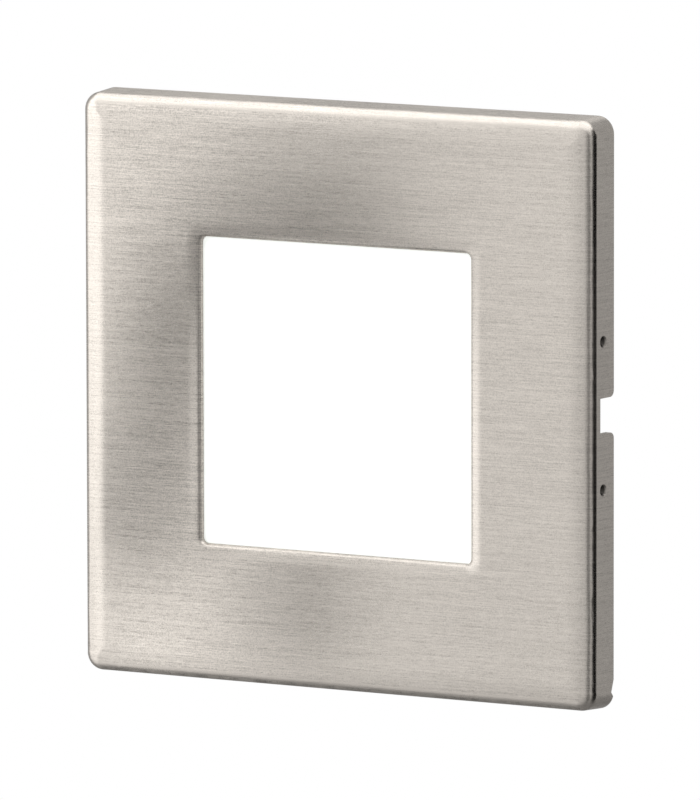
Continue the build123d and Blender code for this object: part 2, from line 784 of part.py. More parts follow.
def least_gap(path):
    """The least distance between turns of a wire, less its thickness, measured on points."""
    count = 400
    points = [path.position_at(i / count) for i in range(count + 1)]
    apart = int(count * pi * spring_r / path.length)
    gaps = []
    for i, point in enumerate(points):
        gaps += [(other - point).length for other in points[i + apart :]]
    return min(gaps) - spring_wire


def at_pivot(shape, turned):
    """Put a piece that is made about the pin onto the upper pivot."""
    return Pos(0, clip_pivot_y, clip_pivot_z) * Rot(turned, 0, 0) * shape


def lower(shape):
    return mirror(shape, about=Plane.XY)


def clip_pins():
    upper = across(Pos(clip_pivot_y, clip_pivot_z) * Circle(pin_r), -pin_half, pin_half)
    return Compound([upper.solid(), lower(upper).solid()])


def screws(places, seat_y, length):
    return Compound([screw(x, z, seat_y, length) for x, z in places])


upper_clip = at_pivot(clip_arm(), clip_rest_angle)
upper_pad = at_pivot(clip_pad(), clip_rest_angle)
upper_spring = at_pivot(clip_spring(), 0)

nodes = {
    "front_cover": front_cover(),
    "carrier_frame": carrier_frame(),
    "wall_gasket": wall_gasket(),
    "diffuser": diffuser(),
    "diffuser_gasket": diffuser_gasket(),
    "housing": housing(),
    "housing_gasket": housing_gasket(),
    "housing_screws": screws(corners(housing_screw_x, housing_screw_z), plate_front_y, housing_screw_length),
    "reflector": reflector(),
    "led_board": led_board(),
    "led_chips": led_chips(),
    "board_screws": screws(corners(board_screw_place, board_screw_place), led_front_y, board_screw_length),
    "thermal_pad": thermal_pad(),
    "heat_spreader": heat_spreader(),
    "spreader_screws": screws(
        [(-spreader_screw_x, 0), (spreader_screw_x, 0)], spreader_front_y, spreader_screw_length
    ),
    "driver_board": driver_board(),
    "driver_capacitor": driver_capacitor(),
    "driver_choke": driver_choke(),
    "film_capacitor": film_capacitor(),
    "bridge_rectifier": bridge_rectifier(),
    "driver_chip": driver_chip(),
    "fuse_resistor": fuse_resistor(),
    "driver_screws": screws(driver_posts(), driver_front_y, driver_screw_length),
    "positive_lead": lead(lead_x),
    "negative_lead": lead(-lead_x),
    "terminal_block": terminal_block(),
    "terminal_contacts": terminal_contacts(),
    "live_spring": blade_spring(pole_pitch / 2),
    "neutral_spring": blade_spring(-pole_pitch / 2),
    "live_button": button(pole_pitch / 2),
    "neutral_button": button(-pole_pitch / 2),
    "clip_pins": clip_pins(),
    "upper_clip": upper_clip.solid(),
    "upper_clip_pad": upper_pad.solid(),
    "upper_clip_spring": upper_spring.solid(),
    "lower_clip": lower(upper_clip).solid(),
    "lower_clip_pad": lower(upper_pad).solid(),
    "lower_clip_spring": lower(upper_spring).solid(),
}

os.makedirs("parts", exist_ok=True)
for name, shape in nodes.items():
    export_step(shape, f"parts/{name}.step")
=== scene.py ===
"""Recessed wall light, dressed: a brushed steel cover with an opal window, its housing, clips and terminal."""
import json
import math

import bmesh
import bpy
from mathutils import Matrix, Quaternion, Vector


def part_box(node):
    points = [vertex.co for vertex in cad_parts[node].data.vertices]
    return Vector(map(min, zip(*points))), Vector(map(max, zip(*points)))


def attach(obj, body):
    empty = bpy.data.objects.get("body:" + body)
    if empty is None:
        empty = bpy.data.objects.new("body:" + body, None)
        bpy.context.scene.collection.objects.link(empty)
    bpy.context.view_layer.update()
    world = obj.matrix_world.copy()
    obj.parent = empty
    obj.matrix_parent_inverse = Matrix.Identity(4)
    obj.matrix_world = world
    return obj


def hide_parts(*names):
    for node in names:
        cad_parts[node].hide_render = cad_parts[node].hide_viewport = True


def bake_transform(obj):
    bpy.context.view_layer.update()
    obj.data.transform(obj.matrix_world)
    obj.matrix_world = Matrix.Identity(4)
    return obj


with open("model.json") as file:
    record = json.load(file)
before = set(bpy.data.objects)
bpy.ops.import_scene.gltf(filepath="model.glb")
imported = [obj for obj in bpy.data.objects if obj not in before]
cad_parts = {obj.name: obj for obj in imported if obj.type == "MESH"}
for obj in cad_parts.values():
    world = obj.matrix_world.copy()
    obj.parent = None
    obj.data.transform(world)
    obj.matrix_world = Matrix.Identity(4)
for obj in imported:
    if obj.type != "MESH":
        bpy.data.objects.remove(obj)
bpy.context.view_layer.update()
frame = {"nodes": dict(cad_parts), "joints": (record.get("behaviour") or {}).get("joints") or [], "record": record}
scene = bpy.context.scene
nodes = frame["nodes"]
slot_of = {part["node"]: part["material_slot"] for part in frame["record"]["subparts"]}
bodies = frame["record"]["behaviour"]["bodies"]
body_of = {node: body for body, members in bodies.items() for node in members}
joint_of = {joint["name"]: joint for joint in frame["joints"]}


# Node helpers: x and y place a node in its editor, and a source is the socket that feeds it

def add_node(tree, kind, x, y, **settings):
    node = tree.nodes.new(kind)
    node.location = (x, y)
    for name, value in settings.items():
        setattr(node, name, value)
    return node


def set_inputs(node, **values):
    for name, value in values.items():
        node.inputs[name.replace("_", " ")].default_value = value


def link(tree, start, end):
    tree.links.new(start, end)


def feed(tree, node, values):
    """Gives a node's first inputs their values, each a socket to link or a value to set."""
    for socket, value in zip(node.inputs, values):
        if isinstance(value, bpy.types.NodeSocket):
            link(tree, value, socket)
        else:
            socket.default_value = value


def math_node(tree, operation, x, y, *values):
    node = add_node(tree, "ShaderNodeMath", x, y, operation=operation)
    feed(tree, node, values)
    return node.outputs[0]


def vector_math(tree, operation, x, y, *values):
    node = add_node(tree, "ShaderNodeVectorMath", x, y, operation=operation)
    feed(tree, node, values)
    return node.outputs["Value" if operation in ("DOT_PRODUCT", "LENGTH") else "Vector"]


def combine(tree, x, y, *values):
    node = add_node(tree, "ShaderNodeCombineXYZ", x, y)
    feed(tree, node, values)
    return node.outputs[0]


def separate(tree, x, y, vector):
    node = add_node(tree, "ShaderNodeSeparateXYZ", x, y)
    link(tree, vector, node.inputs[0])
    return node.outputs["X"], node.outputs["Y"], node.outputs["Z"]


def noise(tree, x, y, vector, scale, detail, roughness):
    """Noise from 0 to 1; scale is a number, or a socket."""
    node = add_node(tree, "ShaderNodeTexNoise", x, y)
    set_inputs(node, Detail=detail, Roughness=roughness)
    link(tree, vector, node.inputs["Vector"])
    if isinstance(scale, bpy.types.NodeSocket):
        link(tree, scale, node.inputs["Scale"])
    else:
        set_inputs(node, Scale=scale)
    return node.outputs["Fac"]


def map_range(tree, x, y, source, low, high, start=0.0, end=1.0, curve="LINEAR"):
    """A value that runs from low to high while its source runs from start to end."""
    node = add_node(tree, "ShaderNodeMapRange", x, y, interpolation_type=curve)
    set_inputs(node, From_Min=start, From_Max=end, To_Min=low, To_Max=high)
    link(tree, source, node.inputs["Value"])
    return node.outputs["Result"]


def ramp(tree, x, y, source, stops):
    """A colour ramp; stops are (place, colour)."""
    node = add_node(tree, "ShaderNodeValToRGB", x, y)
    elements = node.color_ramp.elements
    while len(elements) < len(stops):
        elements.new(1.0)
    for element, (place, colour) in zip(elements, stops):
        element.position = place
        element.color = (*colour, 1.0)
    link(tree, source, node.inputs["Fac"])
    return node.outputs["Color"]


def mixed(tree, x, y, share, first, second):
    """The first colour where share is 0 and the second where it is 1; each is a socket or a tuple."""
    node = add_node(tree, "ShaderNodeMix", x, y, data_type="RGBA")
    link(tree, share, node.inputs["Factor"])
    for name, colour in (("A", first), ("B", second)):
        if isinstance(colour, tuple):
            node.inputs[name].default_value = (*colour, 1.0)
        else:
            link(tree, colour, node.inputs[name])
    return node.outputs["Result"]


def bump(tree, x, y, height, distance):
    node = add_node(tree, "ShaderNodeBump", x, y)
    set_inputs(node, Distance=distance, Strength=1.0)
    link(tree, height, node.inputs["Height"])
    return node.outputs["Normal"]


def grey(level):
    return (level,) * 3


def greys(stops):
    """Ramp stops of (place, colour), from (place, level)."""
    return [(place, grey(level)) for place, level in stops]


def shade(colour, share):
    return tuple(min(1.0, c * share) for c in colour)


def shades(colour, stops):
    """Ramp stops of (place, colour), from (place, share of the one colour)."""
    return [(place, shade(colour, share)) for place, share in stops]


# Shared effects

def new_group(name, inputs, outputs):
    """A shader node group with its input and output nodes in place; its outputs are all values."""
    group = bpy.data.node_groups.new(name, "ShaderNodeTree")
    for label, kind, value in inputs:
        socket = group.interface.new_socket(name=label, in_out="INPUT", socket_type=kind)
        socket.default_value = value
    for label in outputs:
        group.interface.new_socket(name=label, in_out="OUTPUT", socket_type="NodeSocketFloat")
    start = add_node(group, "NodeGroupInput", -900, 0)
    end = add_node(group, "NodeGroupOutput", 700, 0)
    return group, start.outputs, end.inputs


# How much shorter and finer the scratches are than the streaks, along X, Y and Z
scratch_scale = (6.0, 6.0, 2.6)


def make_brushed_grain():
    """Hairlines that run level: drawn streaks, fine short scratches, and a sparkle of the worn grit between."""
    group, given, result = new_group(
        "brushed_grain",
        [
            ("Vector", "NodeSocketVector", (0, 0, 0)),
            ("Streaks per metre", "NodeSocketFloat", 7500.0),
            ("Drawn out", "NodeSocketFloat", 0.015),
            ("Sparkles per metre", "NodeSocketFloat", 5200.0),
        ],
        ["Streaks", "Scratches", "Sparkle"],
    )
    along = math_node(group, "MULTIPLY", -700, -200, given["Streaks per metre"], given["Drawn out"])
    scale = combine(group, -520, -150, along, along, given["Streaks per metre"])
    stretched = vector_math(group, "MULTIPLY", -340, 0, given["Vector"], scale)
    finer = vector_math(group, "MULTIPLY", -340, -260, stretched, scratch_scale)
    sparkle = noise(group, -140, -520, given["Vector"], given["Sparkles per metre"], detail=1.0, roughness=0.5)
    link(group, noise(group, -140, 120, stretched, scale=1.0, detail=4.0, roughness=0.65), result["Streaks"])
    link(group, noise(group, -140, -240, finer, scale=1.0, detail=2.0, roughness=0.6), result["Scratches"])
    link(group, sparkle, result["Sparkle"])
    return group


def make_edge_wear():
    """A mask that is 1 on outer edges, within a stated width of them."""
    group, given, result = new_group(
        "edge_wear",
        [("Width", "NodeSocketFloat", 0.0004), ("Strength", "NodeSocketFloat", 1.0)],
        ["Mask"],
    )
    rounded = add_node(group, "ShaderNodeBevel", -600, 0, samples=4)
    link(group, given["Width"], rounded.inputs["Radius"])
    surface = add_node(group, "ShaderNodeNewGeometry", -600, -200)
    same = vector_math(group, "DOT_PRODUCT", -380, 0, rounded.outputs[0], surface.outputs["Normal"])
    turned = math_node(group, "SUBTRACT", -200, 0, 1.0, same)
    worn = math_node(group, "MULTIPLY", 0, 0, turned, given["Strength"])
    link(group, math_node(group, "MINIMUM", 200, 0, worn, 1.0), result["Mask"])
    return group


def make_mottle():
    """Slow change of tone and a fine moulded texture, both from 0 to 1."""
    group, given, result = new_group(
        "mottle",
        [
            ("Vector", "NodeSocketVector", (0, 0, 0)),
            ("Patches per metre", "NodeSocketFloat", 70.0),
            ("Pits per metre", "NodeSocketFloat", 3500.0),
        ],
        ["Patches", "Pits"],
    )
    patches = noise(group, -400, 120, given["Vector"], given["Patches per metre"], detail=3.0, roughness=0.55)
    pits = noise(group, -400, -200, given["Vector"], given["Pits per metre"], detail=1.5, roughness=0.5)
    link(group, patches, result["Patches"])
    link(group, pits, result["Pits"])
    return group


brushed_grain = make_brushed_grain()
edge_wear = make_edge_wear()
mottle = make_mottle()


# Materials

def bare_material(name):
    """A material with nothing on its surface yet; gives its tree, surface socket and object coordinates too."""
    material = bpy.data.materials.new(name)
    material.use_nodes = True
    tree = material.node_tree
    tree.nodes.clear()
    out = add_node(tree, "ShaderNodeOutputMaterial", 900, 0)
    place = add_node(tree, "ShaderNodeTexCoord", -1100, 0)
    return material, tree, out.inputs["Surface"], place.outputs["Object"]


def new_material(name):
    """A bare material with a Principled skin on its surface, which it gives in place of the surface socket."""
    material, tree, surface, vector = bare_material(name)
    skin = add_node(tree, "ShaderNodeBsdfPrincipled", 600, 0)
    link(tree, skin.outputs[0], surface)
    return material, tree, skin, vector


def place_group(tree, group, x, y, vector=None, **values):
    node = add_node(tree, "ShaderNodeGroup", x, y, node_tree=group)
    set_inputs(node, **values)
    if vector is not None:
        link(tree, vector, node.inputs["Vector"])
    return node


def patchy_colour(tree, skin, patches, edges, tones, edge_colour):
    """Base colour that goes through tones with the patches, and turns to edge_colour on outer edges."""
    tone = ramp(tree, -500, 0, patches, tones)
    colour = mixed(tree, -200, 120, edges.outputs["Mask"], tone, edge_colour)
    link(tree, colour, skin.inputs["Base Color"])


# The cover's size across, half the window as the opal plate is lit, and the plate's glow where steel mirrors it
cover_width = 0.08
half_window = 0.0212
mirrored_glow = 0.2

# Pressed crown of the cover, as half widths: its face starts to fall away at a flat, and has its full slope at a bend
rim_corner = 0.03731
rim_flat = 0.0360
rim_bend = 0.03845
rim_slope = 0.1745
rim_fall_cad = 0.00013
window_corner = 0.0202
window_flat = 0.0233
window_bend = 0.0217
window_slope = 0.13
crown_rings = 5
crown_ring_width = 0.00032
crown_corner_merge = 0.00012

# Snap dimples in the side walls of the cover: place, the radii where the shade painted into their pits starts to fade
# and ends, and the share of the steel colour left under that painted shade
dimple_y = -0.0031
dimple_z = 0.010
pit_core = 0.00062
pit_end = 0.00088
painted_pit_shade = 0.10

# Brushing: over what height it turns to follow a bend, the sparkle's share of its tone and relief, and its depth
brushing_turn = 0.0007
sparkle_in_tone = 0.8
sparkle_in_relief = 4.0
brushing_depth = 0.0000016
brushed_way = (0.0, 0.15, 0.99)


def brushed_steel(name, colour, pit_y, pit_z):
    """Level hairlines that follow the sheet round its bends, and painted shade in the dimple pits at (pit_y, +-pit_z)
    of the side walls.
    """
    material, tree, skin, vector = new_material(name)
    x, y, z = separate(tree, -1700, 560, vector)
    height = math_node(tree, "ABSOLUTE", -1500, 480, z)
    bent = map_range(tree, -1340, 400, height, low=0.0, high=1.0, start=rim_bend, end=rim_bend + brushing_turn)
    depth = math_node(tree, "MULTIPLY", -1160, 400, bent, y)
    sheet = combine(tree, -980, 300, x, y, math_node(tree, "ADD", -1080, 200, z, depth))
    grain = place_group(tree, brushed_grain, -800, 100, sheet)
    haze = place_group(tree, mottle, -800, -250, vector, Patches_per_metre=38.0, Pits_per_metre=9000.0)

    # Tone of the hairlines, heavier on the left of the window
    lines = math_node(tree, "ADD", -560, 0, grain.outputs["Streaks"], grain.outputs["Scratches"])
    glint = math_node(tree, "MULTIPLY", -640, 160, grain.outputs["Sparkle"], sparkle_in_tone)
    brushed = math_node(tree, "ADD", -560, 160, lines, glint)
    mean = math_node(tree, "DIVIDE", -480, 240, brushed, 2.0 + sparkle_in_tone)
    fine = ramp(tree, -400, 250, mean, shades(colour, [(0.36, 0.70), (0.50, 1.0), (0.64, 1.22)]))
    coarse = ramp(tree, -400, 0, mean, shades(colour, [(0.36, 0.42), (0.50, 1.0), (0.64, 1.44)]))
    from_middle = math_node(tree, "DIVIDE", -880, 760, x, cover_width)
    across = math_node(tree, "ADD", -720, 760, from_middle, 0.5)
    heavier = ramp(tree, -560, 760, across, greys([(0.03, 0.0), (0.08, 0.55), (0.22, 0.60), (0.60, 0.0)]))
    tone = mixed(tree, -60, 240, heavier, fine, coarse)

    # Shade painted into the pits of the dimples: the steel colour darkened where the pits lie in shade
    along = math_node(tree, "SUBTRACT", -720, 620, y, pit_y)
    above = math_node(tree, "SUBTRACT", -560, 480, height, pit_z)
    apart = vector_math(tree, "LENGTH", -240, 560, combine(tree, -400, 560, along, above))
    pit = map_range(tree, -80, 560, apart, low=1.0, high=0.0, start=pit_core, end=pit_end)
    # The pit mask darkens the base colour there: painted shade
    link(tree, mixed(tree, 150, 300, pit, tone, shade(colour, painted_pit_shade)), skin.inputs["Base Color"])

    # Gloss, and relief brushed level
    dull = math_node(tree, "MULTIPLY", -400, -160, lines, haze.outputs["Patches"])
    link(tree, map_range(tree, -200, -160, dull, low=0.22, high=0.36), skin.inputs["Roughness"])
    grit = math_node(tree, "MULTIPLY", -560, -420, grain.outputs["Sparkle"], sparkle_in_relief)
    relief = math_node(tree, "ADD", -400, -420, lines, grit)
    link(tree, bump(tree, -200, -380, relief, brushing_depth), skin.inputs["Normal"])
    set_inputs(skin, Metallic=1.0, Anisotropic=0.88)
    link(tree, combine(tree, 300, -420, *brushed_way), skin.inputs["Tangent"])
    return material


def opal_acrylic(name, colour):
    """Lit from behind: even in the middle, a little weaker towards the edges and corners, dim where it is mirrored."""
    material, tree, skin, vector = new_material(name)
    haze = place_group(tree, mottle, -800, -250, vector, Patches_per_metre=45.0, Pits_per_metre=6000.0)
    tone = ramp(tree, -500, 200, haze.outputs["Patches"], shades(colour, [(0.3, 0.985), (0.7, 1.0)]))
    link(tree, tone, skin.inputs["Base Color"])
    link(tree, map_range(tree, -500, -200, haze.outputs["Pits"], low=0.32, high=0.42), skin.inputs["Roughness"])
    link(tree, bump(tree, -200, -380, haze.outputs["Pits"], distance=0.000004), skin.inputs["Normal"])
    x, _, z = separate(tree, -900, 500, vector)
    width = math_node(tree, "ABSOLUTE", -720, 560, x)
    height = math_node(tree, "ABSOLUTE", -720, 440, z)
    far = math_node(tree, "MAXIMUM", -560, 500, width, height)
    share = math_node(tree, "DIVIDE", -420, 500, far, half_window)
    glow = ramp(tree, -260, 500, share, [
        (0.0, (1.0, 1.0, 1.0)), (0.82, (0.98, 0.99, 0.98)), (1.0, (0.86, 0.90, 0.87)),
    ])
    rays = add_node(tree, "ShaderNodeLightPath", -260, 800)
    seen = mixed(tree, 100, 600, rays.outputs["Is Glossy Ray"], glow, grey(mirrored_glow))
    link(tree, seen, skin.inputs["Emission Color"])
    set_inputs(skin, Emission_Strength=0.62)
    return material


# How far the pits make a plastic rougher or smoother
roughness_spread = 0.08


def moulded_plastic(name, colour, roughness=0.5, pit=0.000012):
    """Moulded, foamed or dipped: fine pits of a stated depth, and edges a little lighter."""
    material, tree, skin, vector = new_material(name)
    cloud = place_group(tree, mottle, -800, 0, vector)
    edges = place_group(tree, edge_wear, -800, 300, Width=0.0003, Strength=1.6)
    tones = shades(colour, [(0.3, 0.93), (0.7, 1.04)])
    patchy_colour(tree, skin, cloud.outputs["Patches"], edges, tones, shade(colour, 1.25))
    low = roughness - roughness_spread
    high = roughness + roughness_spread
    link(tree, map_range(tree, -500, -250, cloud.outputs["Pits"], low, high), skin.inputs["Roughness"])
    link(tree, bump(tree, -200, -380, cloud.outputs["Pits"], pit), skin.inputs["Normal"])
    return material


def plated_metal(name, colour, low=0.28, high=0.48):
    """Zinc plate, aluminium or strip: cloudy crystals, rubbed bright on the edges; low and high are its roughness."""
    material, tree, skin, vector = new_material(name)
    cloud = place_group(tree, mottle, -800, 0, vector, Patches_per_metre=420.0, Pits_per_metre=6500.0)
    edges = place_group(tree, edge_wear, -800, 300, Width=0.0002, Strength=1.5)
    tones = shades(colour, [(0.25, 0.84), (0.75, 1.06)])
    patchy_colour(tree, skin, cloud.outputs["Patches"], edges, tones, shade(colour, 1.3))
    link(tree, map_range(tree, -500, -250, cloud.outputs["Patches"], low, high), skin.inputs["Roughness"])
    link(tree, bump(tree, -200, -380, cloud.outputs["Pits"], distance=0.000002), skin.inputs["Normal"])
    set_inputs(skin, Metallic=1.0)
    return material


finishes = {
    "cover_steel": brushed_steel("brushed_cover_steel", (0.66, 0.613, 0.56), dimple_y, dimple_z),
    "opal": opal_acrylic("opal_window", (0.94, 0.95, 0.93)),
    "frame_plastic": moulded_plastic("frame_light_grey", (0.70, 0.70, 0.68)),
    "housing_plastic": moulded_plastic("housing_dark_grey", (0.075, 0.077, 0.082)),
    "foam": moulded_plastic("wall_seal_foam", (0.035, 0.035, 0.036), roughness=0.85, pit=0.00006),
    "silicone": moulded_plastic("silicone_seal", (0.62, 0.61, 0.58), roughness=0.42),
    "reflector_white": moulded_plastic("reflector_white", (0.86, 0.86, 0.85), roughness=0.3, pit=0.000003),
    "board_white": moulded_plastic("led_board_white", (0.84, 0.85, 0.84), roughness=0.35, pit=0.000004),
    "phosphor": moulded_plastic("led_phosphor", (0.88, 0.62, 0.10), roughness=0.4, pit=0.000004),
    "pad_grey": moulded_plastic("gap_pad_grey", (0.30, 0.33, 0.38), roughness=0.7),
    "aluminium": plated_metal("milled_aluminium", (0.76, 0.77, 0.78)),
    "board_green": moulded_plastic("driver_board_green", (0.02, 0.13, 0.05), roughness=0.35, pit=0.000006),
    "sleeve_black": moulded_plastic("shrink_sleeve_black", (0.02, 0.02, 0.025), roughness=0.3, pit=0.000003),
    "winding": plated_metal("copper_winding", (0.62, 0.29, 0.12)),
    "film_yellow": moulded_plastic("dipped_yellow", (0.66, 0.38, 0.03), roughness=0.3, pit=0.000006),
    "chip_black": moulded_plastic("chip_epoxy", (0.025, 0.025, 0.026), roughness=0.55),
    "resistor_green": moulded_plastic("resistor_lacquer", (0.10, 0.22, 0.12), roughness=0.3),
    "zinc": plated_metal("zinc_plate", (0.66, 0.67, 0.69)),
    "wire_red": moulded_plastic("wire_red", (0.46, 0.02, 0.015), roughness=0.38, pit=0.000004),
    "wire_black": moulded_plastic("wire_black", (0.02, 0.02, 0.02), roughness=0.38, pit=0.000004),
    "terminal_grey": moulded_plastic("terminal_grey", (0.52, 0.53, 0.52), roughness=0.42, pit=0.000005),
    "button_orange": moulded_plastic("button_orange", (0.72, 0.16, 0.015), roughness=0.4, pit=0.000005),
    "contact_brass": plated_metal("contact_strip", (0.72, 0.56, 0.28)),
    "spring_steel": plated_metal("spring_steel", (0.46, 0.46, 0.47), low=0.22, high=0.36),
    "pad_rubber": moulded_plastic("clip_rubber", (0.03, 0.03, 0.03), roughness=0.7, pit=0.00002),
}
for name, node in nodes.items():
    node.data.materials.clear()
    node.data.materials.append(finishes[slot_of[name]])


# Pieces that stand for CAD nodes

same_point = 0.000001
same_plane = math.radians(0.2)
sharp_angle = math.radians(40)
smooth_angle = math.radians(32)


def add_object(name, data):
    obj = bpy.data.objects.new(name, data)
    scene.collection.objects.link(obj)
    return obj


def select_only(piece):
    bpy.ops.object.select_all(action="DESELECT")
    piece.select_set(True)
    bpy.context.view_layer.objects.active = piece


def apply_modifier(piece, kind, **settings):
    modifier = piece.modifiers.new(kind.lower(), kind)
    for name, value in settings.items():
        setattr(modifier, name, value)
    bpy.ops.object.modifier_apply(modifier=modifier.name)


def merged_copy(node, name):
    """A copy of a CAD node with its loose triangles joined into whole faces, left selected and active."""
    piece = add_object(name, nodes[node].data.copy())
    select_only(piece)
    bpy.ops.object.mode_set(mode="EDIT")
    bpy.ops.mesh.select_all(action="SELECT")
    bpy.ops.mesh.remove_doubles(threshold=same_point)
    bpy.ops.mesh.dissolve_limited(angle_limit=same_plane)
    bpy.ops.object.mode_set(mode="OBJECT")
    return piece


def break_edges(piece, width, segments, weight):
    """Breaks sharp edges and shades bends as one smooth surface; weight is how far large faces lead the shading."""
    apply_modifier(
        piece, "BEVEL", width=width, segments=segments, limit_method="ANGLE", angle_limit=sharp_angle,
    )
    bpy.ops.object.shade_smooth_by_angle(angle=smooth_angle)
    apply_modifier(piece, "WEIGHTED_NORMAL", keep_sharp=True, weight=weight)


def takes_place(node):
    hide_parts(node)


def stands_for(piece, node):
    """A rigid piece takes the place of a node, on the node's body."""
    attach(piece, body_of[node])
    takes_place(node)


def eased(node, name, width, segments=2):
    """The CAD form with its edges broken."""
    piece = merged_copy(node, name)
    break_edges(piece, width, segments, weight=80)
    stands_for(piece, node)
    return piece


# The cover's points that move, by depth behind its front: the face, the window's lip, the rim's bend and its wall,
# which starts at the half width rim_wall
on_front = 0.00001
face_depth = 0.0004
lip_depth = 0.0009
bend_depth = 0.0006
rim_wall = 0.0391
wall_depth = 0.0018


def square_reach(x, z, corner):
    """Half width of the square through (x, z) whose corners are rounded about (corner, corner)."""
    over_x = abs(x) - corner
    over_z = abs(z) - corner
    return corner + math.hypot(max(over_x, 0.0), max(over_z, 0.0)) + min(max(over_x, over_z), 0.0)


def crown_fall(start, end, slope, reach):
    """How far the face has fallen at reach, when its slope grows evenly from 0 at start to slope at end."""
    run = min(max((reach - start) / (end - start), 0.0), 1.0)
    return 0.5 * slope * abs(end - start) * run * run


def open_loop(mesh, outermost):
    """The open edges beside the rim, or else those beside the window."""
    loop = []
    for edge in mesh.edges:
        place = edge.verts[0].co
        far = max(abs(place.x), abs(place.z)) > (rim_flat + window_flat) / 2
        if edge.is_boundary and far == outermost:
            loop.append(edge)
    return loop


def ring_of_faces(mesh, edges, share):
    """Faces from an open loop of edges to the same loop drawn share times as far from the middle."""
    made = bmesh.ops.extrude_edge_only(mesh, edges=edges)["geom"]
    points = [item for item in made if isinstance(item, bmesh.types.BMVert)]
    bmesh.ops.scale(mesh, vec=(share, 1.0, share), verts=points)
    return [item for item in made if isinstance(item, bmesh.types.BMEdge)]


def ringed_face(piece, front_y):
    """Remakes the flat front as narrow rings beside the rim and the window, and one flat band between them."""
    mesh = bmesh.new()
    mesh.from_mesh(piece.data)
    flat = [face for face in mesh.faces if all(abs(v.co.y - front_y) < on_front for v in face.verts)]
    bmesh.ops.delete(mesh, geom=flat, context="FACES")
    for outermost, sign in ((True, -1), (False, 1)):
        loop = open_loop(mesh, outermost)
        half = max(edge.verts[0].co.x for edge in loop)
        for ring in range(crown_rings):
            wider = half + sign * crown_ring_width
            loop = ring_of_faces(mesh, loop, wider / half)
            half = wider
    rims = [vertex for vertex in mesh.verts if vertex.is_boundary]
    bmesh.ops.remove_doubles(mesh, verts=rims, dist=crown_corner_merge)
    bmesh.ops.bridge_loops(mesh, edges=[edge for edge in mesh.edges if edge.is_boundary])
    bmesh.ops.recalc_face_normals(mesh, faces=mesh.faces)
    mesh.to_mesh(piece.data)
    mesh.free()


def pressed_cover(node, name, width):
    """The steel cap, its face drawn down softly towards the rim and the window, as pressing leaves it."""
    piece = merged_copy(node, name)
    front_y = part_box(node)[0][1]
    ringed_face(piece, front_y)
    lip_shift = crown_fall(window_flat, window_bend, window_slope, window_bend)
    rim_shift = crown_fall(rim_flat, rim_bend, rim_slope, rim_bend) - rim_fall_cad
    for vertex in piece.data.vertices:
        x, y, z = vertex.co
        reach = square_reach(x, z, rim_corner)
        window_reach = square_reach(x, z, window_corner)
        on_bend = reach > rim_bend and y < front_y + bend_depth
        on_wall = reach > rim_wall and y < front_y + wall_depth
        if y < front_y + face_depth and window_bend <= window_reach + on_front and reach <= rim_bend:
            fall = crown_fall(window_flat, window_bend, window_slope, window_reach)
            vertex.co.y = front_y + fall + crown_fall(rim_flat, rim_bend, rim_slope, reach)
        elif window_reach < window_bend and y < front_y + lip_depth:
            vertex.co.y += lip_shift
        elif on_bend or on_wall:
            vertex.co.y += rim_shift
    break_edges(piece, width, segments=2, weight=50)
    stands_for(piece, node)


def rubber_sleeve(node, name, grid):
    """A moulded sleeve with soft round edges, remade on a grid of that size."""
    piece = merged_copy(node, name)
    apply_modifier(piece, "REMESH", mode="VOXEL", voxel_size=grid)
    apply_modifier(piece, "SMOOTH", factor=0.5, iterations=8)
    bpy.ops.object.shade_smooth()
    stands_for(piece, node)


# Torsion springs of the clips: coil, wire and legs, four turns and a part of one
spring_radius = 0.00175
spring_wire = 0.0006
spring_pitch = 0.0011
spring_wound = math.radians(360 * 4 + 67)
spring_first_angle = -math.pi / 2
spring_housing_leg = 0.0040
spring_arm_leg = 0.0060
spring_steps = 150
wire_smooth_angle = math.radians(60)


def spring_line():
    """Points along an upper spring's wire, from the hinge: a leg on the housing, the coil, a leg under the arm."""
    advance = spring_pitch / (2 * math.pi)
    first_x = -advance * spring_wound / 2

    def turn_point(angle):
        turned = spring_first_angle - angle
        return Vector((
            first_x + advance * angle, spring_radius * math.cos(turned), spring_radius * math.sin(turned),
        ))

    def turn_way(angle):
        turned = spring_first_angle - angle
        return Vector((
            advance, spring_radius * math.sin(turned), -spring_radius * math.cos(turned),
        )).normalized()

    line = [turn_point(spring_wound * step / spring_steps) for step in range(spring_steps + 1)]
    line.insert(0, line[0] - spring_housing_leg * turn_way(0.0))
    line.append(line[-1] + spring_arm_leg * turn_way(spring_wound))
    return line, first_x


def clip_spring(node, name, hinge, side):
    """A torsion spring on the hinge; side is 1 for the upper clip, -1 for the lower."""
    joint = joint_of[hinge]
    pivot = Vector(joint["pos_m"])
    line, first_x = spring_line()
    curve = bpy.data.curves.new(name, "CURVE")
    curve.dimensions = "3D"
    curve.bevel_depth = spring_wire / 2
    curve.bevel_resolution = 5
    curve.use_fill_caps = True
    spline = curve.splines.new("POLY")
    spline.points.add(len(line) - 1)
    for point, place in zip(spline.points, line):
        point.co = (*(pivot + Vector((place.x, place.y, side * place.z))), 1.0)
    select_only(add_object(name, curve))
    bpy.ops.object.convert(target="MESH")
    piece = bpy.context.object
    bpy.ops.object.shade_smooth_by_angle(angle=wire_smooth_angle)
    piece.data.materials.append(finishes[slot_of[node]])
    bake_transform(piece)
    takes_place(node)


# Contact blades of the terminal: how far below its top a blade's bend ends, and cuts across its free leg
blade_bend_depth = 0.0020
blade_cuts = 9


